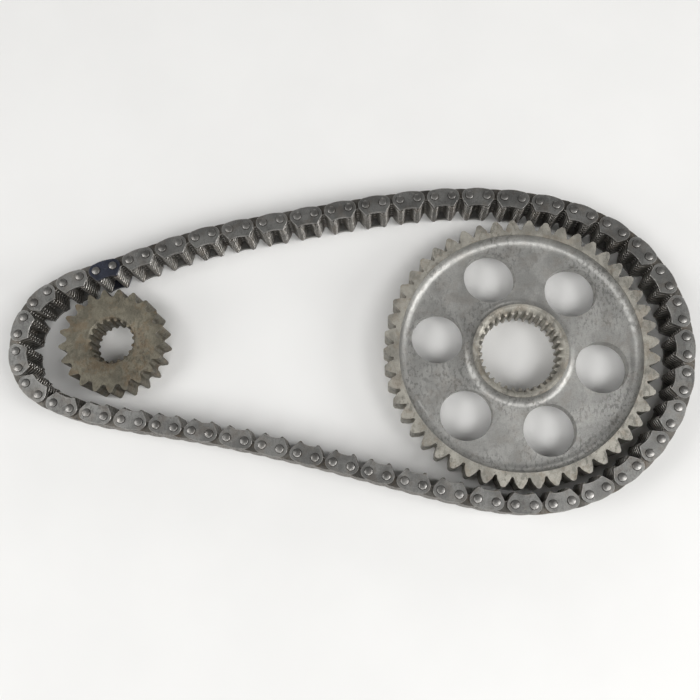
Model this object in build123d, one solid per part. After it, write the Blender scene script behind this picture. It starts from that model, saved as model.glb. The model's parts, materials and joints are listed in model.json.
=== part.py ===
from build123d import *
import math
import os

os.makedirs("parts", exist_ok=True)

# ------------------------------------------------------------------
# Silent (inverted-tooth) chain, endless, laid flat round two loose
# splined sprockets.  Millimetres.  Z is the pin direction.
# ------------------------------------------------------------------

# chain
PITCH = 9.525            # 3/8 inch
LINKS = 90               # pin-to-pin rows, even rows carry the guide plates
PLATE = 1.5              # every plate is punched from the same strip
GAP = 0.05               # running gap between neighbouring plates
LAYERS = 15              # guide, 7 inner and 6 own tooth plates laced, guide
HEAD = 0.9               # rivet head proud of the guide plate
PIN_R = 1.6
HEAD_R = 2.15
RUN_R = PIN_R + 0.05     # hole of a plate that turns on the pin
HALF = PITCH / 2
STACK = LAYERS * PLATE + (LAYERS - 1) * GAP
HEIGHT = STACK + 2 * HEAD

# plate outline, x along the link, y towards the teeth
END_R = 4.1              # rounded end about each pin
BACK_SAG = 0.5           # bulge of the back
TOOTH_Y = 6.7            # tooth tip below the pin line
FLANK = 30               # outer flank, degrees from the pin line normal
GUIDE_Y = 6.1
GUIDE_FLANK = 34

# route of the loop: control points of a closed smooth curve round the
# small sprocket at (0, 0) and the large one at (CENTRES, 0)
CENTRES = 220.9
ROUTE = [
    (1, 40), (-52, 25), (-52, -32), (2, -43), (45, -47), (95, -56),
    (141, -66), (187, -77), (235, -85), (280, -63), (307, -22), (306, 28),
    (277, 69), (231, 84), (184, 86), (136, 79), (90, 69), (41, 59),
]
BEND_ROWS = 18           # rows of the tight bend that turn one by one

# small sprocket
S_TEETH, S_TIP, S_ROOT, S_THICK = 21, 28.95, 24.6, 19.0
S_SPLINES, S_MAJOR, S_MINOR, S_BORE = 19, 12.55, 11.3, 13.3
S_TURN = 103.0           # first tooth, degrees

# large sprocket
L_TEETH, L_TIP, L_ROOT, L_THICK = 49, 72.8, 67.1, 20.0
L_SPLINES, L_MAJOR, L_MINOR, L_BORE = 34, 22.1, 20.2, 23.6
L_TURN = 181.55
RIM_R, HUB_R, WEB_Z = 64.5, 25.4, 6.0
RIM_FILLET, HUB_FILLET = 5.0, 4.8   # where the recessed web meets rim and hub
HOLES, HOLE_R, HOLE_PCR, HOLE_TURN = 6, 14.0, 44.3, 171.0


# ------------------------------------------------------------------
# route: pins stepped at exact pitch along the curve
# ------------------------------------------------------------------
def curve(points, u):
    n = len(points)
    i = int(math.floor(u))
    t = u - i
    w = ((1 - t) ** 3 / 6, (3 * t ** 3 - 6 * t * t + 4) / 6,
         (-3 * t ** 3 + 3 * t * t + 3 * t + 1) / 6, t ** 3 / 6)
    return (sum(w[j] * points[(i - 1 + j) % n][0] for j in range(4)),
            sum(w[j] * points[(i - 1 + j) % n][1] for j in range(4)))


def step_round(scale):
    points = [(x * scale, y * scale) for x, y in ROUTE]
    u, pins = 0.0, [curve(points, 0.0)]
    for _ in range(LINKS):
        low, high = u, u + 1.0
        for _ in range(40):
            mid = (low + high) / 2
            if math.dist(curve(points, mid), pins[-1]) < PITCH:
                low = mid
            else:
                high = mid
        u = (low + high) / 2
        pins.append(curve(points, u))
    return pins, u


def close_loop():
    low, high = 0.95, 1.05
    for _ in range(40):
        mid = (low + high) / 2
        if step_round(mid)[1] > len(ROUTE):
            low = mid
        else:
            high = mid
    return step_round((low + high) / 2)[0][:LINKS]


def pin_of(i):
    return PINS[i % LINKS]


def heading(row):
    (x0, y0), (x1, y1) = pin_of(row), pin_of(row + 1)
    return math.atan2(y1 - y0, x1 - x0)


def extent():
    """Outline of the chain in plan, from the plate ends and backs."""
    xs, ys = [], []
    for row in range(LINKS):
        a = heading(row)
        (x0, y0), (x1, y1) = pin_of(row), pin_of(row + 1)
        back = END_R + BACK_SAG
        mx = (x0 + x1) / 2 + back * math.sin(a)
        my = (y0 + y1) / 2 - back * math.cos(a)
        xs += [x0 - END_R, x0 + END_R, mx]
        ys += [y0 - END_R, y0 + END_R, my]
    return min(xs), max(xs), min(ys), max(ys)


PINS = close_loop()
X0, X1, Y0, Y1 = extent()
SHIFT = (-(X0 + X1) / 2, -(Y0 + Y1) / 2)
PINS = [(x + SHIFT[0], y + SHIFT[1]) for x, y in PINS]
SMALL_AT = SHIFT
LARGE_AT = (CENTRES + SHIFT[0], SHIFT[1])


# ------------------------------------------------------------------
# chain plates and pins
# ------------------------------------------------------------------
def mirrored(p):
    return (-p[0], p[1])


def plate_face(flank, y_tip, inner):
    """inner: 'teeth' for two teeth with a crotch, 'hollow' for a guide plate."""
    a = math.radians(flank)
    bottom = (HALF, -END_R)
    side = (HALF + END_R * math.cos((a - math.pi / 2) / 2),
            END_R * math.sin((a - math.pi / 2) / 2))
    tangent = (HALF + END_R * math.cos(a), END_R * math.sin(a))
    outer = (HALF + (END_R - y_tip * math.sin(a)) / math.cos(a), y_tip)
    edges = [
        ThreePointArc(mirrored(bottom), (0, -END_R - BACK_SAG), bottom),
        ThreePointArc(bottom, side, tangent),
        Line(tangent, outer),
        ThreePointArc(mirrored(bottom), mirrored(side), mirrored(tangent)),
        Line(mirrored(tangent), mirrored(outer)),
    ]
    corners = [outer]
    if inner == "teeth":
        tip, crotch = (outer[0] - 1.25, y_tip), (1.0, 1.7)
        edges += [Line(outer, tip), Line(tip, crotch),
                  ThreePointArc(crotch, (0, 1.1), mirrored(crotch)),
                  Line(mirrored(crotch), mirrored(tip)),
                  Line(mirrored(tip), mirrored(outer))]
        corners.append(tip)
    else:
        edges.append(ThreePointArc(outer, (0, y_tip - 0.9), mirrored(outer)))
    face = make_face(edges).faces()[0]
    spots = corners + [mirrored(c) for c in corners]
    picked = [v for v in face.vertices()
              if any(math.dist((v.X, v.Y), s) < 1e-3 for s in spots)]
    return face.fillet_2d(0.4, picked)


def plate(face, hole):
    body = extrude(face, amount=PLATE, dir=(0, 0, 1))
    for x in (-HALF, HALF):
        body -= Pos(x, 0, PLATE / 2) * Cylinder(hole, 3 * PLATE)
    return body.solids()[0]


def layer_z(i):
    return HEAD + i * (PLATE + GAP)


TOOTH_FACE = plate_face(FLANK, TOOTH_Y, "teeth")
GUIDE_PLATE = plate(plate_face(GUIDE_FLANK, GUIDE_Y, "hollow"), PIN_R)
FIXED_PLATE = plate(TOOTH_FACE, PIN_R)
RUNNING_PLATE = plate(TOOTH_FACE, RUN_R)

_head = Cylinder(HEAD_R, HEAD, align=(Align.CENTER, Align.CENTER, Align.MIN))
_head = fillet(_head.edges().filter_by(GeomType.CIRCLE).sort_by(Axis.Z)[0], 0.45)
_shank = Cylinder(PIN_R, STACK, align=(Align.CENTER, Align.CENTER, Align.MIN))
PIN = (_head + Pos(0, 0, HEAD) * _shank
       + Pos(0, 0, HEIGHT) * Rot(180, 0, 0) * _head).solids()[0]


def on_row(row, shape, z):
    (x0, y0), (x1, y1) = pin_of(row), pin_of(row + 1)
    at = Location(((x0 + x1) / 2, (y0 + y1) / 2, z), (0, 0, math.degrees(heading(row))))
    return shape.moved(at)


def guide_plates(row):
    return [on_row(row, GUIDE_PLATE, layer_z(i)) for i in (0, LAYERS - 1)]


def own_tooth_plates(row):
    return [on_row(row, FIXED_PLATE, layer_z(i)) for i in range(2, LAYERS - 1, 2)]


def inner_plates(row):
    return [on_row(row, RUNNING_PLATE, layer_z(i)) for i in range(1, LAYERS - 1, 2)]


def pin(i):
    x, y = pin_of(i)
    return [PIN.moved(Location((x, y, 0)))]


def closing_pin(i):
    """Pin of the joining link, present only inside its own link's plates."""
    x, y = pin_of(i)
    head = (_head + Pos(0, 0, HEAD) * Cylinder(
        PIN_R, PLATE, align=(Align.CENTER, Align.CENTER, Align.MIN))).solids()[0]
    slices = [head.moved(Location((x, y, 0))),
              (Pos(0, 0, HEIGHT) * Rot(180, 0, 0) * head).moved(Location((x, y, 0)))]
    for k in range(2, LAYERS - 1, 2):
        disc = Cylinder(PIN_R, PLATE, align=(Align.CENTER, Align.CENTER, Align.MIN))
        slices.append(disc.solids()[0].moved(Location((x, y, layer_z(k)))))
    return slices


# ------------------------------------------------------------------
# sprockets
# ------------------------------------------------------------------
def polar(r, deg):
    return (r * math.cos(math.radians(deg)), r * math.sin(math.radians(deg)))


def toothed_face(teeth, tip, root, tip_half, root_half, crown, belly, turn):
    """Closed outline of teeth with rounded tips, bellied flanks and round gaps.
    tip_half: half width of a tooth under its rounded tip, root_half: half
    width of the gap above its round bottom, crown: how round both ends are,
    belly: how far a flank stands out at its middle."""
    step = 360 / teeth
    shoulder, floor = tip - tip_half * crown, root + root_half * crown
    a_tip = math.degrees(tip_half / shoulder)
    a_gap = math.degrees(root_half / floor)
    middle = (shoulder + floor) / 2
    a_mid = (a_tip + step / 2 - a_gap) / 2 + math.degrees(belly / middle)
    edges = []
    for k in range(teeth):
        c = turn + k * step
        gap = c + step / 2
        left, right = polar(shoulder, c - a_tip), polar(shoulder, c + a_tip)
        low, far = polar(floor, gap - a_gap), polar(floor, gap + a_gap)
        follow = polar(shoulder, c + step - a_tip)
        edges += [ThreePointArc(left, polar(tip, c), right),
                  ThreePointArc(right, polar(middle, c + a_mid), low),
                  ThreePointArc(low, polar(root, gap), far),
                  ThreePointArc(far, polar(middle, c + step - a_mid), follow)]
    return make_face(edges).faces()[0]


def spline_face(count, major, minor, turn):
    step = 360 / count
    edges = []
    for k in range(count):
        c = turn + k * step
        a, b = polar(minor, c - step * 0.36), polar(major, c - step * 0.20)
        d, e = polar(major, c + step * 0.20), polar(minor, c + step * 0.36)
        f = polar(minor, c + step * 0.64)
        edges += [Line(a, b), ThreePointArc(b, polar(major, c), d), Line(d, e),
                  ThreePointArc(e, polar(minor, c + step / 2), f)]
    return make_face(edges).faces()[0]


def bored(body, thick, count, major, minor, mouth, depth, turn):
    """Splined bore with a cone at each mouth that also cuts the spline ends."""
    body -= extrude(spline_face(count, major, minor, turn), amount=thick, dir=(0, 0, 1))
    bottom = (Align.CENTER, Align.CENTER, Align.MIN)
    neck = (minor + major) / 2
    body -= Pos(0, 0, thick - depth) * Cone(neck, mouth, depth, align=bottom)
    body -= Cone(mouth, neck, depth, align=bottom)
    return body


def small_sprocket():
    face = toothed_face(S_TEETH, S_TIP, S_ROOT, 1.2, 1.75, 0.85, 0.08, S_TURN)
    body = extrude(face, amount=S_THICK, dir=(0, 0, 1))
    body = bored(body, S_THICK, S_SPLINES, S_MAJOR, S_MINOR, S_BORE, 1.3, 0)
    return Pos(SMALL_AT[0], SMALL_AT[1], 0) * body.solids()[0]


def large_sprocket():
    face = toothed_face(L_TEETH, L_TIP, L_ROOT, 1.7, 0.8, 0.8, 0.3, L_TURN)
    body = extrude(face, amount=L_THICK, dir=(0, 0, 1))
    section = Plane.XZ * Pos((RIM_R + HUB_R) / 2, L_THICK + 1) * Rectangle(
        RIM_R - HUB_R, 2 * (WEB_Z + 1))
    rim_corner = section.vertices().group_by(Axis.Z)[0].sort_by(Axis.X)[-1]
    section = fillet(rim_corner, RIM_FILLET)
    hub_corner = section.vertices().group_by(Axis.Z)[0].sort_by(Axis.X)[0]
    recess = revolve(fillet(hub_corner, HUB_FILLET), Axis.Z)
    body -= recess
    body -= recess.mirror(Plane.XY.offset(L_THICK / 2))
    for k in range(HOLES):
        x, y = polar(HOLE_PCR, HOLE_TURN + k * 360 / HOLES)
        body -= Pos(x, y, L_THICK / 2) * Cylinder(HOLE_R, L_THICK)
    body = bored(body, L_THICK, L_SPLINES, L_MAJOR, L_MINOR, L_BORE, 2.4, 0)
    return Pos(LARGE_AT[0], LARGE_AT[1], 0) * body.solids()[0]


# ------------------------------------------------------------------
# export, one file per separately moving piece
# ------------------------------------------------------------------
def save(name, solids):
    if len(solids) == 1:
        shape = solids[0]
    else:
        shape = Compound(children=solids)
    shape.label = name
    export_step(shape, f"parts/{name}.step")


save("small_sprocket", [small_sprocket()])
save("large_sprocket", [large_sprocket()])
save("joining_guide_plates", guide_plates(0))
save("joining_tooth_plates", own_tooth_plates(0))
save("joining_pins", closing_pin(0) + pin(1))
for row in range(1, BEND_ROWS):
    if row % 2:
        save(f"inner_link_{row:02d}", inner_plates(row))
    else:
        save(f"guide_link_{row:02d}",
             guide_plates(row) + own_tooth_plates(row) + pin(row) + pin(row + 1))
for row in range(BEND_ROWS, LINKS, 2):
    save(f"link_{row:02d}_{row + 1:02d}",
         guide_plates(row) + own_tooth_plates(row) + pin(row) + pin(row + 1)
         + inner_plates(row + 1))
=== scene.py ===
import json
import math
import random

import bmesh
import bpy
from bpy.props import (FloatProperty, FloatVectorProperty, IntProperty,
                       PointerProperty)
from bpy.types import Operator, Panel, PropertyGroup
from mathutils import Matrix, Vector


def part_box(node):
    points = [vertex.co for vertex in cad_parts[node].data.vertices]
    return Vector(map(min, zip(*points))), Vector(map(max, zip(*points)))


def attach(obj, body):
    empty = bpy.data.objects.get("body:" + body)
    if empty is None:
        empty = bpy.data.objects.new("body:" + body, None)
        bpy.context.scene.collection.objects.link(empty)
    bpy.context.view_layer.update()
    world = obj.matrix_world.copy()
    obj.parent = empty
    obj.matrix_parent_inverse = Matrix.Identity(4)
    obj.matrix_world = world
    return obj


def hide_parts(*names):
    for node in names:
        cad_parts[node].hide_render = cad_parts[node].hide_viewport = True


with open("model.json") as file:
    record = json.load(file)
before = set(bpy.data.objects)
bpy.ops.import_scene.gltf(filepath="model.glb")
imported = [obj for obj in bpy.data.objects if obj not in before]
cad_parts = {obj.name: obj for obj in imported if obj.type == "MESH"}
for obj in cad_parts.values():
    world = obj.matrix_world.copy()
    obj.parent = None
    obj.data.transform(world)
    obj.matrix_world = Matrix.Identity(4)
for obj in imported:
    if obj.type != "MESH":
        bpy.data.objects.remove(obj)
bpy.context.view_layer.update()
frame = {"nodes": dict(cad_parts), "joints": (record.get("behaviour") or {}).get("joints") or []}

bl_info = {
    "name": "Silent chain set",
    "version": (1, 0, 0),
    "blender": (4, 5, 0),
    "location": "View3D > Sidebar > Chain set",
    "description": "Builds an inverted-tooth chain and its two splined sprockets",
    "category": "Mesh",
}

MM = 0.001

# Control points of the closed route that the pins follow, in millimetres,
# from the small sprocket's centre.
ROUTE = (
    (1, 40), (-52, 25), (-52, -32), (2, -43), (45, -47), (95, -56),
    (141, -66), (187, -77), (235, -85), (280, -63), (307, -22), (306, 28),
    (277, 69), (231, 84), (184, 86), (136, 79), (90, 69), (41, 59),
)


# ------------------------------------------------------------------
# Settings
# ------------------------------------------------------------------
def length(name, text, default):
    return FloatProperty(name=name, description=text, default=default, min=0.0,
                         subtype="DISTANCE", unit="LENGTH", precision=5)


def colour(name, text, default):
    return FloatVectorProperty(name=name, description=text, default=default,
                               size=3, subtype="COLOR", min=0.0, max=1.0)


class ChainSizes(PropertyGroup):
    pitch: length("Pitch", "Distance from pin to pin", 9.525 * MM)
    links: IntProperty(name="Rows", description="Pin-to-pin rows in the loop", default=90)
    bend_rows: IntProperty(name="Bend rows", default=18,
                           description="Rows of the tight bend that turn one by one")
    layers: IntProperty(name="Layers", default=15,
                        description="Plates laced across the chain, guides included")
    plate: length("Plate", "Thickness of every plate", 1.5 * MM)
    gap: length("Running gap", "Gap between neighbouring plates", 0.05 * MM)
    head: length("Rivet head", "Height of a rivet head over the guide plate", 0.9 * MM)
    head_radius: length("Head radius", "Radius of a rivet head", 2.15 * MM)
    shank_radius: length("Shank radius", "Radius of a rivet shank", 1.6 * MM)
    end_radius: length("End radius", "Radius of a plate's end about its pin", 4.1 * MM)
    back_sag: length("Back bulge", "How far the back of a plate bulges", 0.5 * MM)
    tooth: length("Tooth depth", "Tooth tip below the pin line", 6.7 * MM)
    guide: length("Guide depth", "Guide plate's edge below the pin line", 6.1 * MM)
    flank: FloatProperty(name="Tooth flank", description="Lean of a tooth's outer flank",
                         default=math.radians(30), subtype="ANGLE")
    guide_flank: FloatProperty(name="Guide flank", default=math.radians(34), subtype="ANGLE",
                               description="Lean of a guide plate's flank")
    edge: length("Edge break", "Rolled edge of a punched plate", 0.11 * MM)


class SprocketSizes(PropertyGroup):
    edge: length("Edge break", "Chamfer along the sprockets' sharp edges", 0.28 * MM)
    rim_radius: length("Rim radius", "Where the large sprocket's rim meets its web", 64.5 * MM)
    hub_radius: length("Hub radius", "Outside of the large sprocket's hub ring", 25.4 * MM)


class Finishes(PropertyGroup):
    guide: colour("Guide plates", "Phosphated steel of the guide plates", (0.215, 0.213, 0.203))
    tooth: colour("Tooth plates", "Oiled steel of the tooth plates", (0.14, 0.133, 0.12))
    joining: colour("Joining link", "Blued steel of the joining link", (0.05, 0.055, 0.075))
    rivet: colour("Rivets", "Steel of the rivet heads", (0.215, 0.21, 0.2))
    # painted shade: the near-black colour of the thin collar round each rivet head stands in for
    # the shadow where the head meets the plate
    painted_collar_shade: colour("Oil", "Old oil in the corner round a rivet head", (0.03, 0.028, 0.025))
    worn: colour("Worn edge", "Bright steel where an edge has rubbed", (0.5, 0.48, 0.45))
    small: colour("Small sprocket", "Olive-grey steel of the small sprocket", (0.148, 0.135, 0.102))
    rim: colour("Rim and hub", "Warm ground steel of the large sprocket", (0.33, 0.315, 0.275))
    web: colour("Web", "Smooth forged steel of the large sprocket's web", (0.355, 0.351, 0.334))
    rust: colour("Rust", "Thin brown stain", (0.16, 0.1, 0.05))
    table: colour("Table", "Matt white table", (0.8, 0.795, 0.78))


class StageSettings(PropertyGroup):
    camera_at: FloatVectorProperty(name="Camera", description="Where the camera stands",
                                   default=(0.02482, -0.10122, 0.4748),
                                   subtype="TRANSLATION", unit="LENGTH")
    camera_turn: FloatVectorProperty(name="Camera turn", description="How the camera is turned",
                                     default=tuple(map(math.radians, (12.11, 2.45, 1.98))),
                                     subtype="EULER")
    lens: FloatProperty(name="Lens", description="Focal length in millimetres",
                        default=44.8, min=1.0)
    key: FloatProperty(name="Key light", description="Power of the high right softbox",
                       default=16.5, min=0.0, subtype="POWER", unit="POWER")
    fill: FloatProperty(name="Fill light", description="Power of the high left softbox",
                        default=11.5, min=0.0, subtype="POWER", unit="POWER")
    front: FloatProperty(name="Front light", description="Power of the high front softbox",
                         default=15.0, min=0.0, subtype="POWER", unit="POWER")
    sides: FloatProperty(name="Side lights", description="Power of the low softboxes",
                         default=7.5, min=0.0, subtype="POWER", unit="POWER")
    walls: FloatProperty(name="Wall light", description="Light that the pale walls give",
                         default=0.52, min=0.0)
    ceiling: FloatProperty(name="Ceiling light", default=0.06, min=0.0,
                           description="Light that the dark ceiling gives")


# ------------------------------------------------------------------
# Route of the chain
# ------------------------------------------------------------------
def curve(points, u):
    n = len(points)
    i = int(math.floor(u))
    t = u - i
    w = ((1 - t) ** 3 / 6, (3 * t ** 3 - 6 * t * t + 4) / 6,
         (-3 * t ** 3 + 3 * t * t + 3 * t + 1) / 6, t ** 3 / 6)
    return (sum(w[j] * points[(i - 1 + j) % n][0] for j in range(4)),
            sum(w[j] * points[(i - 1 + j) % n][1] for j in range(4)))


def step_round(scale, pitch, links):
    points = [(x * scale, y * scale) for x, y in ROUTE]
    u, pins = 0.0, [curve(points, 0.0)]
    for _ in range(links):
        low, high = u, u + 1.0
        for _ in range(40):
            mid = (low + high) / 2
            if math.dist(curve(points, mid), pins[-1]) < pitch:
                low = mid
            else:
                high = mid
        u = (low + high) / 2
        pins.append(curve(points, u))
    return pins, u


def lay_pins(sizes):
    """Pins at exact pitch round the route, in metres, in the frame of the parts."""
    pitch, low, high = sizes.pitch / MM, 0.95, 1.05
    for _ in range(40):
        mid = (low + high) / 2
        if step_round(mid, pitch, sizes.links)[1] > len(ROUTE):
            low = mid
        else:
            high = mid
    pins = step_round((low + high) / 2, pitch, sizes.links)[0][:sizes.links]
    spin = next(j for j in frame["joints"] if j["name"] == "drive_sprocket_spin")
    x, y = spin["pos_m"][:2]
    return [Vector((p[0] * MM + x, p[1] * MM + y, 0)) for p in pins]


class Chain:
    """Places of the chain's rows, worked out once the settings are known."""

    def __init__(self, sizes):
        self.s = sizes
        self.pins = lay_pins(sizes)

    def pin(self, i):
        return self.pins[i % self.s.links]

    def place(self, row, z=0.0):
        a, b = self.pin(row), self.pin(row + 1)
        turn = math.atan2(b.y - a.y, b.x - a.x)
        middle = (a + b) / 2
        middle.z = z
        return Matrix.Translation(middle) @ Matrix.Rotation(turn, 4, "Z")

    def layer(self, i):
        return self.s.head + i * (self.s.plate + self.s.gap)

    def groups(self):
        """(name, body, CAD nodes, rows) of every chain body."""
        found = [("joining_link", "joining_link",
                  ("joining_guide_plates", "joining_tooth_plates", "joining_pins"), (0,))]
        for row in range(1, self.s.bend_rows):
            name = f"{'inner' if row % 2 else 'guide'}_link_{row:02d}"
            found.append((name, name, (name,), (row,)))
        for row in range(self.s.bend_rows, self.s.links, 2):
            name = f"link_{row:02d}_{row + 1:02d}"
            found.append((name, name, (name,), (row, row + 1)))
        return found


def chain():
    return Chain(bpy.context.scene.chain_sizes)


# ------------------------------------------------------------------
# Mesh helpers
# ------------------------------------------------------------------
def plate_bmesh(s, depth, flank, hollow, steps):
    """One punched plate, lying on z = 0 about its link's middle. hollow: a guide
    plate's curved edge in place of two teeth, steps: facets of a rounded end."""
    bm = bmesh.new()
    half, r = s.pitch / 2, s.end_radius
    back = bm.verts.new((half * 0.5, -r - s.back_sag * 0.75, 0))
    start = bm.verts.new((half, -r, 0))
    bm.edges.new((back, start))
    spun = bmesh.ops.spin(bm, geom=[start], cent=(half, 0, 0), axis=(0, 0, 1),
                          angle=math.pi / 2 + flank, steps=steps, use_duplicate=False)
    end = next(g for g in spun["geom_last"] if isinstance(g, bmesh.types.BMVert))
    reach = half + (r - depth * math.sin(flank)) / math.cos(flank)
    inner = [(reach + 0.10 * MM, depth - 0.42 * MM, 0), (reach - 0.38 * MM, depth, 0)]
    if hollow:
        inner += [(half * 0.62, depth - 0.62 * MM, 0), (half * 0.3, depth - 0.84 * MM, 0)]
    else:
        inner += [(reach - 1.0 * MM, depth, 0), (reach - 1.42 * MM, depth - 0.34 * MM, 0),
                  (1.05 * MM, 1.75 * MM, 0), (0.5 * MM, 1.22 * MM, 0)]
    last = end
    for co in inner:
        new = bm.verts.new(co)
        bm.edges.new((last, new))
        last = new
    both = bmesh.ops.mirror(bm, geom=bm.verts[:] + bm.edges[:], axis="X",
                            merge_dist=0.01 * MM)
    bmesh.ops.remove_doubles(bm, verts=bm.verts, dist=0.01 * MM)
    # close the outline at the back and between the teeth
    ends = [v for v in bm.verts if len(v.link_edges) == 1]
    ends.sort(key=lambda v: (v.co.y, v.co.x))
    middle_back = bm.verts.new((0, -r - s.back_sag, 0))
    for v in ends[:2]:
        bm.edges.new((v, middle_back))
    dip = depth - 0.9 * MM if hollow else 1.1 * MM
    middle_front = bm.verts.new((0, dip, 0))
    for v in ends[2:]:
        bm.edges.new((v, middle_front))
    face = bmesh.ops.contextual_create(bm, geom=bm.edges[:])["faces"][0]
    if face.normal.z > 0:
        face.normal_flip()
    raised = bmesh.ops.extrude_face_region(bm, geom=[face])
    top = [g for g in raised["geom"] if isinstance(g, bmesh.types.BMVert)]
    bmesh.ops.translate(bm, verts=top, vec=(0, 0, s.plate))
    bmesh.ops.recalc_face_normals(bm, faces=bm.faces)
    return bm


def soften(bm, offset, angle, segments=1):
    """Breaks every edge sharper than angle and marks the new faces as worn."""
    wear = bm.loops.layers.float.get("edge_wear") or bm.loops.layers.float.new("edge_wear")
    sharp = [e for e in bm.edges if e.is_manifold and e.calc_face_angle(0) > angle]
    made = bmesh.ops.bevel(bm, geom=sharp, offset=offset, offset_type="OFFSET",
                           segments=segments, profile=0.5, affect="EDGES",
                           clamp_overlap=True, material=-1)
    for face in made["faces"]:
        for loop in face.loops:
            loop[wear] = 1.0
    return wear


def wear_band(bm, wear, width):
    """A narrow band round each flat, worn at its outer side."""
    flats = [f for f in bm.faces if abs(f.normal.z) > 0.99 and len(f.verts) > 12]
    for face in flats:
        ring = bmesh.ops.inset_region(bm, faces=[face], thickness=width, depth=0,
                                      use_even_offset=True)["faces"]
        core = set(face.verts)
        for f in ring:
            for loop in f.loops:
                loop[wear] = 0.0 if loop.vert in core else 1.0


def piece(name, bm, body, materials, nodes=(), angle=30):
    mesh = bpy.data.meshes.new(name)
    bm.to_mesh(mesh)
    bm.free()
    mesh.shade_smooth()
    mesh.set_sharp_from_angle(angle=math.radians(angle))
    obj = bpy.data.objects.new(name, mesh)
    bpy.context.scene.collection.objects.link(obj)
    for m in materials:
        mesh.materials.append(m)
    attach(obj, body)
    if nodes:
        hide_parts(*nodes)
    return obj


def stamp(bm, template, matrix):
    """Adds a copy of a finished shape to bm at a place."""
    placed = template.copy()
    placed.transform(matrix)
    bm.from_mesh(placed)
    bpy.data.meshes.remove(placed)


def as_mesh(bm, name):
    mesh = bpy.data.meshes.new(name)
    bm.to_mesh(mesh)
    bm.free()
    return mesh


def guide_shape(s):
    bm = plate_bmesh(s, s.guide, s.guide_flank, True, 7)
    wear = soften(bm, s.edge * 1.3, math.radians(50))
    wear_band(bm, wear, 0.28 * MM)
    return as_mesh(bm, "guide_plate_shape")


def tooth_shape(s):
    bm = plate_bmesh(s, s.tooth, s.flank, False, 4)
    soften(bm, s.edge * 1.5, math.radians(50))
    return as_mesh(bm, "tooth_plate_shape")


def rivet_shape(s):
    """Head of a rivet, standing on z = 0, and a thin near-black collar round it: painted shade
    where the head meets the plate.
    """
    bm = bmesh.new()
    bmesh.ops.create_circle(bm, cap_ends=True, segments=16, radius=s.head_radius)
    top = bmesh.ops.extrude_face_region(bm, geom=bm.faces[:])
    verts = [g for g in top["geom"] if isinstance(g, bmesh.types.BMVert)]
    bmesh.ops.translate(bm, verts=verts, vec=(0, 0, s.head))
    bmesh.ops.recalc_face_normals(bm, faces=bm.faces)
    rim = [e for e in bm.edges if all(v.co.z > s.head * 0.9 for v in e.verts)]
    bmesh.ops.bevel(bm, geom=rim, offset=s.head * 0.4, offset_type="OFFSET", segments=2,
                    profile=0.5, affect="EDGES", clamp_overlap=True, material=-1)
    wear = bm.loops.layers.float.new("edge_wear")
    for f in bm.faces:
        for loop in f.loops:
            loop[wear] = 1.0 if s.head * 0.5 < loop.vert.co.z < s.head * 0.97 else 0.25
    head = as_mesh(bm, "rivet_head_shape")
    # the thin collar below is painted shade: a near-black ring on the plate round the head, in
    # place of the shadow where head and plate meet
    bm = bmesh.new()
    wide = s.head_radius + 0.25 * MM
    bmesh.ops.create_cone(bm, cap_ends=True, segments=16, radius1=wide,
                          radius2=wide - 0.06 * MM, depth=0.08 * MM,
                          matrix=Matrix.Translation((0, 0, 0.02 * MM)))
    for f in bm.faces:
        f.material_index = 1
    bm.from_mesh(head)
    bpy.data.meshes.remove(head)
    return as_mesh(bm, "rivet_shape")


def stack(s):
    """Height of all the laced plates together."""
    return s.layers * s.plate + (s.layers - 1) * s.gap


def shank_shape(s):
    """Shank of a rivet, between the undersides of its two heads."""
    bm = bmesh.new()
    bmesh.ops.create_cone(bm, cap_ends=True, segments=16, radius1=s.shank_radius,
                          radius2=s.shank_radius, depth=stack(s),
                          matrix=Matrix.Translation((0, 0, s.head + stack(s) / 2)))
    return as_mesh(bm, "rivet_shank_shape")


# ------------------------------------------------------------------
# Finishes
# ------------------------------------------------------------------
def socket(group, name, kind, way="INPUT", value=None):
    made = group.interface.new_socket(name=name, in_out=way, socket_type=kind)
    if value is not None:
        made.default_value = value
    return made


def add(tree, kind, **values):
    node = tree.nodes.new(kind)
    for key, value in values.items():
        if key in node.inputs:
            node.inputs[key].default_value = value
        else:
            setattr(node, key, value)
    return node


def noise(tree, vector, scale, detail=4.0, roughness=0.55):
    node = add(tree, "ShaderNodeTexNoise")
    node.inputs["Scale"].default_value = scale
    node.inputs["Detail"].default_value = detail
    node.inputs["Roughness"].default_value = roughness
    tree.links.new(vector, node.inputs["Vector"])
    return node.outputs["Fac"]


def ramp(tree, value, low, high, to_low=0.0, to_high=1.0):
    node = add(tree, "ShaderNodeMapRange")
    node.interpolation_type = "SMOOTHSTEP"
    node.inputs["From Min"].default_value = low
    node.inputs["From Max"].default_value = high
    node.inputs["To Min"].default_value = to_low
    node.inputs["To Max"].default_value = to_high
    tree.links.new(value, node.inputs["Value"])
    return node.outputs["Result"]


def maths(tree, kind, a, b):
    node = add(tree, "ShaderNodeMath", operation=kind)
    for i, v in enumerate((a, b)):
        if isinstance(v, (int, float)):
            node.inputs[i].default_value = v
        else:
            tree.links.new(v, node.inputs[i])
    return node.outputs[0]


def blend_colour(tree, share, a, b, kind="MIX"):
    node = add(tree, "ShaderNodeMix", data_type="RGBA", blend_type=kind)
    tree.links.new(share, node.inputs[0])
    for i, v in ((6, a), (7, b)):
        if isinstance(v, tuple):
            node.inputs[i].default_value = v
        else:
            tree.links.new(v, node.inputs[i])
    return node.outputs[2]


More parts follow.
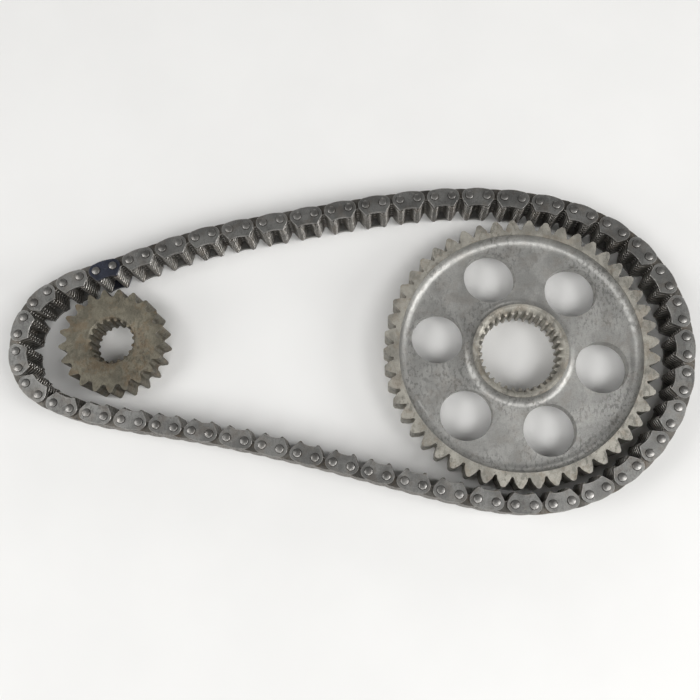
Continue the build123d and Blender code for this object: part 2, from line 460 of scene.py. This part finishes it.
def worn_steel_group():
    """Colour, roughness and height of handled steel: broad patches, dark
    mottling, a brown stain, fine scratches and rubbed edges."""
    name = "Worn steel"
    if name in bpy.data.node_groups:
        return bpy.data.node_groups[name]
    g = bpy.data.node_groups.new(name, "ShaderNodeTree")
    socket(g, "Vector", "NodeSocketVector")
    for label in ("Base", "Worn", "Stain"):
        socket(g, label, "NodeSocketColor", value=(0.2, 0.2, 0.2, 1))
    for label, value in (("Edge", 0.0), ("Edge amount", 0.5), ("Patch size", 90.0),
                         ("Patches", 0.3), ("Mottle size", 420.0), ("Mottle", 0.2),
                         ("Stain amount", 0.15), ("Scratches", 0.2),
                         ("Gloss low", 0.4), ("Gloss high", 0.6)):
        socket(g, label, "NodeSocketFloat", value=value)
    socket(g, "Color", "NodeSocketColor", "OUTPUT")
    socket(g, "Roughness", "NodeSocketFloat", "OUTPUT")
    socket(g, "Height", "NodeSocketFloat", "OUTPUT")
    i, o = g.nodes.new("NodeGroupInput"), g.nodes.new("NodeGroupOutput")
    v = i.outputs["Vector"]

    def scaled_noise(label, detail, vector=v):
        node = add(g, "ShaderNodeTexNoise")
        node.inputs["Detail"].default_value = detail
        node.inputs["Roughness"].default_value = 0.6
        g.links.new(vector, node.inputs["Vector"])
        g.links.new(i.outputs[label], node.inputs["Scale"])
        return node.outputs["Fac"]

    def times(colour_in, factor):
        node = add(g, "ShaderNodeVectorMath", operation="SCALE")
        g.links.new(colour_in, node.inputs[0])
        g.links.new(factor, node.inputs["Scale"])
        return node.outputs[0]

    # broad patches and the dark, slightly stretched mottling of scale and oil
    patch = ramp(g, scaled_noise("Patch size", 5.0), 0.4, 0.6)
    shade = maths(g, "MULTIPLY_ADD", maths(g, "SUBTRACT", patch, 0.5), i.outputs["Patches"])
    shade.node.inputs[2].default_value = 1.0
    drawn = add(g, "ShaderNodeMapping")
    drawn.inputs["Scale"].default_value = (1.0, 0.55, 0.55)
    g.links.new(v, drawn.inputs["Vector"])
    spots = ramp(g, scaled_noise("Mottle size", 4.0, drawn.outputs["Vector"]), 0.49, 0.59)
    where = ramp(g, noise(g, v, 46.0, 3.0), 0.4, 0.6, 0.25, 1.0)
    dirt = maths(g, "MULTIPLY", maths(g, "MULTIPLY", spots, where), i.outputs["Mottle"])
    tone = maths(g, "MULTIPLY", shade, maths(g, "SUBTRACT", 1.0, dirt))
    stain = maths(g, "MULTIPLY", ramp(g, noise(g, v, 130.0, 6.0, 0.7), 0.49, 0.62),
                  i.outputs["Stain amount"])
    stained = blend_colour(g, stain, times(i.outputs["Base"], tone), i.outputs["Stain"])
    speck = noise(g, v, 1700.0, 3.0)
    grained = times(stained, ramp(g, speck, 0.3, 0.7, 0.88, 1.12))

    # two families of fine handling scratches
    marks = None
    for turn, scale, low in ((0.9, (260.0, 3200.0, 260.0), 0.66),
                             (-0.5, (2600.0, 210.0, 260.0), 0.69)):
        lay = add(g, "ShaderNodeMapping")
        lay.inputs["Rotation"].default_value = (0, 0, turn)
        lay.inputs["Scale"].default_value = scale
        g.links.new(v, lay.inputs["Vector"])
        fine = ramp(g, noise(g, lay.outputs["Vector"], 1.0, 2.0), low, low + 0.08)
        marks = fine if marks is None else maths(g, "MAXIMUM", marks, fine)

    rubbed = ramp(g, noise(g, v, 700.0, 3.0), 0.32, 0.62, 0.3, 1.0)
    edge = maths(g, "MULTIPLY", maths(g, "MULTIPLY", i.outputs["Edge"], rubbed),
                 i.outputs["Edge amount"])
    bright = maths(g, "MINIMUM", maths(g, "ADD", edge, maths(
        g, "MULTIPLY", marks, i.outputs["Scratches"])), 1.0)
    g.links.new(blend_colour(g, bright, grained, i.outputs["Worn"]), o.inputs["Color"])

    rough = add(g, "ShaderNodeMapRange")
    g.links.new(maths(g, "ADD", maths(g, "MULTIPLY", patch, 0.3),
                      maths(g, "MULTIPLY", spots, 0.7)), rough.inputs["Value"])
    g.links.new(i.outputs["Gloss low"], rough.inputs["To Min"])
    g.links.new(i.outputs["Gloss high"], rough.inputs["To Max"])
    g.links.new(maths(g, "SUBTRACT", rough.outputs["Result"],
                      maths(g, "MULTIPLY", edge, 0.1)), o.inputs["Roughness"])
    g.links.new(maths(g, "SUBTRACT", maths(g, "ADD", speck, maths(g, "MULTIPLY", spots, 0.4)),
                      maths(g, "MULTIPLY", marks, 0.5)), o.inputs["Height"])
    return g


def steel(name, base, worn, rust, metallic=0.85, bump=0.25, depth=0.02, **amounts):
    """A worn steel material with its own colours and amounts."""
    m = bpy.data.materials.new(name)
    m.use_nodes = True
    t = m.node_tree
    t.nodes.clear()
    out = t.nodes.new("ShaderNodeOutputMaterial")
    shader = t.nodes.new("ShaderNodeBsdfPrincipled")
    shader.inputs["Metallic"].default_value = metallic
    t.links.new(shader.outputs[0], out.inputs["Surface"])
    group = t.nodes.new("ShaderNodeGroup")
    group.node_tree = worn_steel_group()
    group.inputs["Base"].default_value = (*base, 1)
    group.inputs["Worn"].default_value = (*worn, 1)
    group.inputs["Stain"].default_value = (*rust, 1)
    for key, value in amounts.items():
        group.inputs[key.replace("_", " ").capitalize()].default_value = value
    place = t.nodes.new("ShaderNodeTexCoord")
    t.links.new(place.outputs["Object"], group.inputs["Vector"])
    edge = t.nodes.new("ShaderNodeAttribute")
    edge.attribute_name = "edge_wear"
    t.links.new(edge.outputs["Fac"], group.inputs["Edge"])
    bumper = t.nodes.new("ShaderNodeBump")
    bumper.inputs["Strength"].default_value = bump
    bumper.inputs["Distance"].default_value = depth * MM
    t.links.new(group.outputs["Height"], bumper.inputs["Height"])
    t.links.new(group.outputs["Color"], shader.inputs["Base Color"])
    t.links.new(group.outputs["Roughness"], shader.inputs["Roughness"])
    t.links.new(bumper.outputs["Normal"], shader.inputs["Normal"])
    return m


def finish(name):
    """The finished material of that name, made on first use."""
    if name in bpy.data.materials:
        return bpy.data.materials[name]
    f = bpy.context.scene.finishes
    recipes = {
        "guide_plate_steel": dict(
            base=f.guide, gloss_low=0.4, gloss_high=0.54, patches=0.3, mottle=0.3,
            mottle_size=650.0, stain_amount=0.15, edge_amount=0.5, scratches=0.25),
        "tooth_plate_steel": dict(
            base=f.tooth, gloss_low=0.38, gloss_high=0.56, patches=0.5, mottle=0.35,
            mottle_size=700.0, stain_amount=0.22, edge_amount=0.65, scratches=0.1),
        "joining_plate_steel": dict(
            base=f.joining, gloss_low=0.32, gloss_high=0.5, patches=0.3, mottle=0.2,
            mottle_size=600.0, stain_amount=0.0, edge_amount=0.16, scratches=0.12),
        "rivet_steel": dict(
            base=f.rivet, gloss_low=0.32, gloss_high=0.46, patches=0.3, mottle=0.3,
            mottle_size=900.0, stain_amount=0.08, edge_amount=0.35, scratches=0.1),
        # painted shade for the collar round each rivet head
        "painted_collar_shade_steel": dict(
            base=f.painted_collar_shade, gloss_low=0.5, gloss_high=0.65, patches=0.2, mottle=0.2,
            mottle_size=900.0, stain_amount=0.1, edge_amount=0.0, scratches=0.0),
        "small_hardened_steel": dict(
            base=f.small, gloss_low=0.46, gloss_high=0.62, patches=0.35, patch_size=150.0,
            mottle=0.32, mottle_size=750.0, stain_amount=0.35, edge_amount=0.7,
            scratches=0.1, metallic=0.6, bump=0.35),
        "large_rim_steel": dict(
            base=f.rim, gloss_low=0.46, gloss_high=0.62, patches=0.35, patch_size=110.0,
            mottle=0.4, mottle_size=520.0, stain_amount=0.25, edge_amount=0.4,
            scratches=0.1, metallic=0.6, bump=0.3),
        "large_web_steel": dict(
            base=f.web, gloss_low=0.42, gloss_high=0.52, patches=0.2, patch_size=90.0,
            mottle=0.4, mottle_size=640.0, stain_amount=0.12, edge_amount=0.25,
            scratches=0.08, metallic=0.68, bump=0.25),
    }
    recipe = recipes[name]
    recipe["base"] = tuple(recipe["base"])
    return steel(name, worn=tuple(f.worn), rust=tuple(f.rust), **recipe)


# ------------------------------------------------------------------
# Chain pieces
# ------------------------------------------------------------------
def settle(rng, amount):
    """The small play of one plate on its pins."""
    return Matrix.Translation((rng.uniform(-amount, amount), rng.uniform(-amount, amount), 0))


class CHAINSET_OT_guide_plates(Operator):
    """Makes the outer guide plates of every guide row"""
    bl_idname = "chainset.guide_plates"
    bl_label = "Guide plates"

    def execute(self, context):
        c, s = chain(), context.scene.chain_sizes
        shape = guide_shape(s)
        for name, body, nodes, rows in c.groups():
            row = rows[0]
            if row % 2:
                continue
            bm = bmesh.new()
            for layer in (0, s.layers - 1):
                stamp(bm, shape, c.place(row, c.layer(layer)))
            joining = row == 0
            piece(f"{name}_guide_plates", bm, body,
                  [finish("joining_plate_steel" if joining else "guide_plate_steel")], nodes)
        bpy.data.meshes.remove(shape)
        return {"FINISHED"}


class CHAINSET_OT_tooth_plates(Operator):
    """Makes the laced tooth plates of every row"""
    bl_idname = "chainset.tooth_plates"
    bl_label = "Tooth plates"

    def execute(self, context):
        c, s = chain(), context.scene.chain_sizes
        shape, rng = tooth_shape(s), random.Random(7)
        for name, body, nodes, rows in c.groups():
            bm = bmesh.new()
            for row in rows:
                first = 1 if row % 2 else 2
                for layer in range(first, s.layers - 1, 2):
                    stamp(bm, shape, c.place(row, c.layer(layer)) @ settle(rng, 0.07 * MM))
            piece(f"{name}_tooth_plates", bm, body, [finish("tooth_plate_steel")], nodes)
        bpy.data.meshes.remove(shape)
        return {"FINISHED"}


class CHAINSET_OT_rivets(Operator):
    """Makes the riveted pins of every guide row"""
    bl_idname = "chainset.rivets"
    bl_label = "Rivets"

    def execute(self, context):
        c, s = chain(), context.scene.chain_sizes
        head, shank = rivet_shape(s), shank_shape(s)
        for name, body, nodes, rows in c.groups():
            row = rows[0]
            if row % 2:
                continue
            bm = bmesh.new()
            for i in (row, row + 1):
                at = Matrix.Translation(c.pin(i))
                stamp(bm, head, at @ Matrix.Translation((0, 0, s.head + stack(s))))
                stamp(bm, head, at @ Matrix.Translation((0, 0, s.head))
                      @ Matrix.Rotation(math.pi, 4, "X"))
                if i:
                    stamp(bm, shank, at)
            # slot 1 holds the painted shade of the collar round each head
            piece(f"{name}_rivets", bm, body,
                  [finish("rivet_steel"), finish("painted_collar_shade_steel")], nodes)
        bpy.data.meshes.remove(head)
        bpy.data.meshes.remove(shank)
        return {"FINISHED"}


# ------------------------------------------------------------------
# Sprockets
# ------------------------------------------------------------------
def softened_copy(node, offset):
    """A merged copy of a turned part's mesh with its sharp edges broken."""
    bm = bmesh.new()
    bm.from_mesh(frame["nodes"][node].data)
    bmesh.ops.remove_doubles(bm, verts=bm.verts, dist=0.004 * MM)
    bmesh.ops.dissolve_limit(bm, angle_limit=math.radians(1.0), verts=bm.verts,
                             edges=bm.edges, use_dissolve_boundaries=False)
    soften(bm, offset, math.radians(38))
    return bm


class CHAINSET_OT_small_sprocket(Operator):
    """Makes the small splined sprocket"""
    bl_idname = "chainset.small_sprocket"
    bl_label = "Small sprocket"

    def execute(self, context):
        bm = softened_copy("small_sprocket", context.scene.sprocket_sizes.edge)
        piece("small_sprocket_body", bm, "drive_sprocket", [finish("small_hardened_steel")],
              ("small_sprocket",), angle=28)
        return {"FINISHED"}


class CHAINSET_OT_large_sprocket(Operator):
    """Makes the large splined sprocket with its recessed web"""
    bl_idname = "chainset.large_sprocket"
    bl_label = "Large sprocket"

    def execute(self, context):
        s = context.scene.sprocket_sizes
        bm = softened_copy("large_sprocket", s.edge)
        low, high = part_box("large_sprocket")
        spin = next(j for j in frame["joints"] if j["name"] == "driven_sprocket_spin")
        axis = Vector(spin["pos_m"]).xy
        for f in bm.faces:
            web = all(s.hub_radius - 0.1 * MM < (v.co.xy - axis).length < s.rim_radius + 0.1 * MM
                      and low[2] + 0.05 * MM < v.co.z < high[2] - 0.05 * MM for v in f.verts)
            f.material_index = int(web)
        piece("large_sprocket_body", bm, "driven_sprocket",
              [finish("large_rim_steel"), finish("large_web_steel")], ("large_sprocket",),
              angle=28)
        return {"FINISHED"}


# ------------------------------------------------------------------
# Stage
# ------------------------------------------------------------------
def area_light(name, at, aim, size, power, colour_of=(1, 1, 1)):
    data = bpy.data.lights.new(name, "AREA")
    data.shape, data.size, data.size_y = "RECTANGLE", size[0], size[1]
    data.energy, data.color = power, colour_of
    lamp = bpy.data.objects.new(name, data)
    bpy.context.scene.collection.objects.link(lamp)
    lamp.location = at
    lamp.rotation_euler = (Vector(aim) - Vector(at)).to_track_quat("-Z", "Y").to_euler()
    return lamp


def table_material(tint):
    m = bpy.data.materials.new("matt_white_table")
    m.use_nodes = True
    t = m.node_tree
    shader = t.nodes["Principled BSDF"]
    shader.inputs["Specular IOR Level"].default_value = 0.25
    shader.inputs["Roughness"].default_value = 0.62
    place = t.nodes.new("ShaderNodeTexCoord")
    cloud = noise(t, place.outputs["Object"], 14.0, 3.0)
    mixed = blend_colour(t, ramp(t, cloud, 0.3, 0.7), (*(c * 0.975 for c in tint), 1),
                         (*tint, 1))
    t.links.new(mixed, shader.inputs["Base Color"])
    return m


def room_world(walls, ceiling):
    """A room with pale walls and a dark ceiling."""
    world = bpy.data.worlds.new("room")
    world.use_nodes = True
    w = world.node_tree
    place = w.nodes.new("ShaderNodeTexCoord")
    apart = w.nodes.new("ShaderNodeSeparateXYZ")
    w.links.new(place.outputs["Generated"], apart.inputs[0])
    level = ramp(w, apart.outputs["Z"], 0.22, 0.5, walls, ceiling)
    back = w.nodes["Background"]
    back.inputs["Color"].default_value = (1.0, 0.995, 0.985, 1)
    w.links.new(level, back.inputs["Strength"])
    return world


class CHAINSET_OT_stage(Operator):
    """Makes the table, the lights and the camera"""
    bl_idname = "chainset.stage"
    bl_label = "Stage"

    def execute(self, context):
        s, scene = context.scene.stage_settings, context.scene
        bm = bmesh.new()
        bmesh.ops.create_grid(bm, x_segments=1, y_segments=1, size=3.0)
        mesh = as_mesh(bm, "table")
        mesh.materials.append(table_material(tuple(scene.finishes.table)))
        table = bpy.data.objects.new("table", mesh)
        scene.collection.objects.link(table)

        area_light("key_softbox", (1.15, -0.4, 1.75), (0.04, 0, 0), (0.9, 0.8), s.key)
        area_light("front_softbox", (0.0, -1.2, 1.9), (0.04, 0, 0), (1.3, 0.8), s.front)
        area_light("fill_softbox", (-1.25, -0.15, 1.6), (-0.04, 0, 0), (0.9, 0.8), s.fill)
        for name, at, share in (("right_softbox", (1.2, -0.25, 0.62), 1.0),
                                ("left_softbox", (-1.15, -0.45, 0.6), 0.5),
                                ("back_softbox", (-0.1, 1.25, 0.6), 0.25)):
            area_light(name, at, (0, 0, 0), (0.5, 0.45), s.sides * share)
        scene.world = room_world(s.walls, s.ceiling)
        scene.view_settings.view_transform = "Standard"

        data = bpy.data.cameras.new("camera")
        data.sensor_width, data.lens = 36.0, s.lens
        data.clip_start, data.clip_end = 0.01, 20.0
        camera = bpy.data.objects.new("camera", data)
        scene.collection.objects.link(camera)
        camera.location = s.camera_at
        camera.rotation_euler = s.camera_turn
        scene.camera = camera
        return {"FINISHED"}


class CHAINSET_PT_panel(Panel):
    """Lists the pieces of the chain set"""
    bl_idname = "CHAINSET_PT_panel"
    bl_label = "Chain set"
    bl_space_type = "VIEW_3D"
    bl_region_type = "UI"
    bl_category = "Chain set"

    def draw(self, context):
        for step in STEPS:
            self.layout.operator(step.bl_idname)


STEPS = (CHAINSET_OT_stage, CHAINSET_OT_guide_plates, CHAINSET_OT_tooth_plates,
         CHAINSET_OT_rivets, CHAINSET_OT_small_sprocket, CHAINSET_OT_large_sprocket)
GROUPS = {"chain_sizes": ChainSizes, "sprocket_sizes": SprocketSizes,
          "finishes": Finishes, "stage_settings": StageSettings}


def register():
    for cls in (*GROUPS.values(), *STEPS, CHAINSET_PT_panel):
        bpy.utils.register_class(cls)
    for name, cls in GROUPS.items():
        setattr(bpy.types.Scene, name, PointerProperty(type=cls))


def unregister():
    for name in GROUPS:
        delattr(bpy.types.Scene, name)
    for cls in reversed((*GROUPS.values(), *STEPS, CHAINSET_PT_panel)):
        bpy.utils.unregister_class(cls)


def main():
    register()
    bpy.ops.chainset.stage()
    bpy.ops.chainset.guide_plates()
    bpy.ops.chainset.tooth_plates()
    bpy.ops.chainset.rivets()
    bpy.ops.chainset.small_sprocket()
    bpy.ops.chainset.large_sprocket()


if __name__ == "__main__":
    main()
